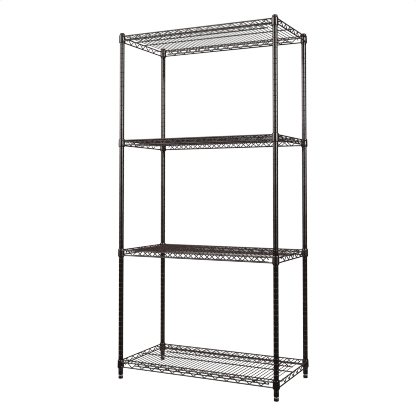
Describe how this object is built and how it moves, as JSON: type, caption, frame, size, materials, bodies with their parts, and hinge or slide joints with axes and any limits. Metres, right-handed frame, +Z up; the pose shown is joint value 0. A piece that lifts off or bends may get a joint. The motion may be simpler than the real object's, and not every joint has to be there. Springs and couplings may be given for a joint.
{
  "type": "wire shelving rack",
  "caption": "Tall black wire shelving rack: grooved round posts with caps and levelling feet carry open welded wire shelves on split tapered sleeves.",
  "frame": {"origin": "on the floor, under the middle of the rack", "axes": "+X along the long side, +Y towards the back, +Z up"},
  "size_m": [0.9072, 0.4752, 1.8366],
  "materials": {
    "black_powder_coat": "gloss",
    "black_plastic": "satin",
    "zinc_steel": "satin"
  },
  "bodies": {
    "uprights": {"post_front_left": "black_powder_coat", "cap_front_left": "black_plastic", "post_insert_front_left": "black_plastic", "post_front_right": "black_powder_coat", "cap_front_right": "black_plastic", "post_insert_front_right": "black_plastic", "post_back_left": "black_powder_coat", "cap_back_left": "black_plastic", "post_insert_back_left": "black_plastic", "post_back_right": "black_powder_coat", "cap_back_right": "black_plastic", "post_insert_back_right": "black_plastic", "sleeve_1_front_left_a": "black_plastic", "sleeve_1_front_left_b": "black_plastic", "sleeve_1_front_right_a": "black_plastic", "sleeve_1_front_right_b": "black_plastic", "sleeve_1_back_left_a": "black_plastic", "sleeve_1_back_left_b": "black_plastic", "sleeve_1_back_right_a": "black_plastic", "sleeve_1_back_right_b": "black_plastic", "sleeve_2_front_left_a": "black_plastic", "sleeve_2_front_left_b": "black_plastic", "sleeve_2_front_right_a": "black_plastic", "sleeve_2_front_right_b": "black_plastic", "sleeve_2_back_left_a": "black_plastic", "sleeve_2_back_left_b": "black_plastic", "sleeve_2_back_right_a": "black_plastic", "sleeve_2_back_right_b": "black_plastic", "sleeve_3_front_left_a": "black_plastic", "sleeve_3_front_left_b": "black_plastic", "sleeve_3_front_right_a": "black_plastic", "sleeve_3_front_right_b": "black_plastic", "sleeve_3_back_left_a": "black_plastic", "sleeve_3_back_left_b": "black_plastic", "sleeve_3_back_right_a": "black_plastic", "sleeve_3_back_right_b": "black_plastic", "sleeve_4_front_left_a": "black_plastic", "sleeve_4_front_left_b": "black_plastic", "sleeve_4_front_right_a": "black_plastic", "sleeve_4_front_right_b": "black_plastic", "sleeve_4_back_left_a": "black_plastic", "sleeve_4_back_left_b": "black_plastic", "sleeve_4_back_right_a": "black_plastic", "sleeve_4_back_right_b": "black_plastic"},
    "shelf_1": {"shelf_1_frame": "black_powder_coat", "shelf_1_deck": "black_powder_coat"},
    "shelf_2": {"shelf_2_frame": "black_powder_coat", "shelf_2_deck": "black_powder_coat"},
    "shelf_3": {"shelf_3_frame": "black_powder_coat", "shelf_3_deck": "black_powder_coat"},
    "shelf_4": {"shelf_4_frame": "black_powder_coat", "shelf_4_deck": "black_powder_coat"},
    "pad_front_left": {"foot_pad_front_left": "black_plastic"},
    "stud_front_left": {"foot_stud_front_left": "zinc_steel"},
    "pad_front_right": {"foot_pad_front_right": "black_plastic"},
    "stud_front_right": {"foot_stud_front_right": "zinc_steel"},
    "pad_back_left": {"foot_pad_back_left": "black_plastic"},
    "stud_back_left": {"foot_stud_back_left": "zinc_steel"},
    "pad_back_right": {"foot_pad_back_right": "black_plastic"},
    "stud_back_right": {"foot_stud_back_right": "zinc_steel"}
  },
  "joints": [
    {"name": "lift_shelf_1", "type": "slide", "parent": "uprights", "child": "shelf_1", "axis": [0, 0, 1], "range_m": [0, 0.5408]},
    {"name": "lift_shelf_2", "type": "slide", "parent": "uprights", "child": "shelf_2", "axis": [0, 0, 1], "range_m": [0, 0.5408]},
    {"name": "lift_shelf_3", "type": "slide", "parent": "uprights", "child": "shelf_3", "axis": [0, 0, 1], "range_m": [0, 0.5154]},
    {"name": "lift_shelf_4", "type": "slide", "parent": "uprights", "child": "shelf_4", "axis": [0, 0, 1], "range_m": [0, 0.08]},
    {"name": "extend_foot_front_left", "type": "slide", "parent": "uprights", "child": "pad_front_left", "axis": [0, 0, -1], "range_m": [0, 0.02]},
    {"name": "turn_stud_front_left", "type": "hinge", "parent": "pad_front_left", "child": "stud_front_left", "pos_m": [-0.436, -0.22, 0.0175], "axis": [0, 0, -1], "range_deg": [0, 4810]},
    {"name": "extend_foot_front_right", "type": "slide", "parent": "uprights", "child": "pad_front_right", "axis": [0, 0, -1], "range_m": [0, 0.02]},
    {"name": "turn_stud_front_right", "type": "hinge", "parent": "pad_front_right", "child": "stud_front_right", "pos_m": [0.436, -0.22, 0.0175], "axis": [0, 0, -1], "range_deg": [0, 4810]},
    {"name": "extend_foot_back_left", "type": "slide", "parent": "uprights", "child": "pad_back_left", "axis": [0, 0, -1], "range_m": [0, 0.02]},
    {"name": "turn_stud_back_left", "type": "hinge", "parent": "pad_back_left", "child": "stud_back_left", "pos_m": [-0.436, 0.22, 0.0175], "axis": [0, 0, -1], "range_deg": [0, 4810]},
    {"name": "extend_foot_back_right", "type": "slide", "parent": "uprights", "child": "pad_back_right", "axis": [0, 0, -1], "range_m": [0, 0.02]},
    {"name": "turn_stud_back_right", "type": "hinge", "parent": "pad_back_right", "child": "stud_back_right", "pos_m": [0.436, 0.22, 0.0175], "axis": [0, 0, -1], "range_deg": [0, 4810]}
  ],
  "couplings": [
    {"joint": "turn_stud_front_left", "follows": "extend_foot_front_left", "rad_per_m": 4188.8},
    {"joint": "turn_stud_front_right", "follows": "extend_foot_front_right", "rad_per_m": 4188.8},
    {"joint": "turn_stud_back_left", "follows": "extend_foot_back_left", "rad_per_m": 4188.8},
    {"joint": "turn_stud_back_right", "follows": "extend_foot_back_right", "rad_per_m": 4188.8}
  ]
}
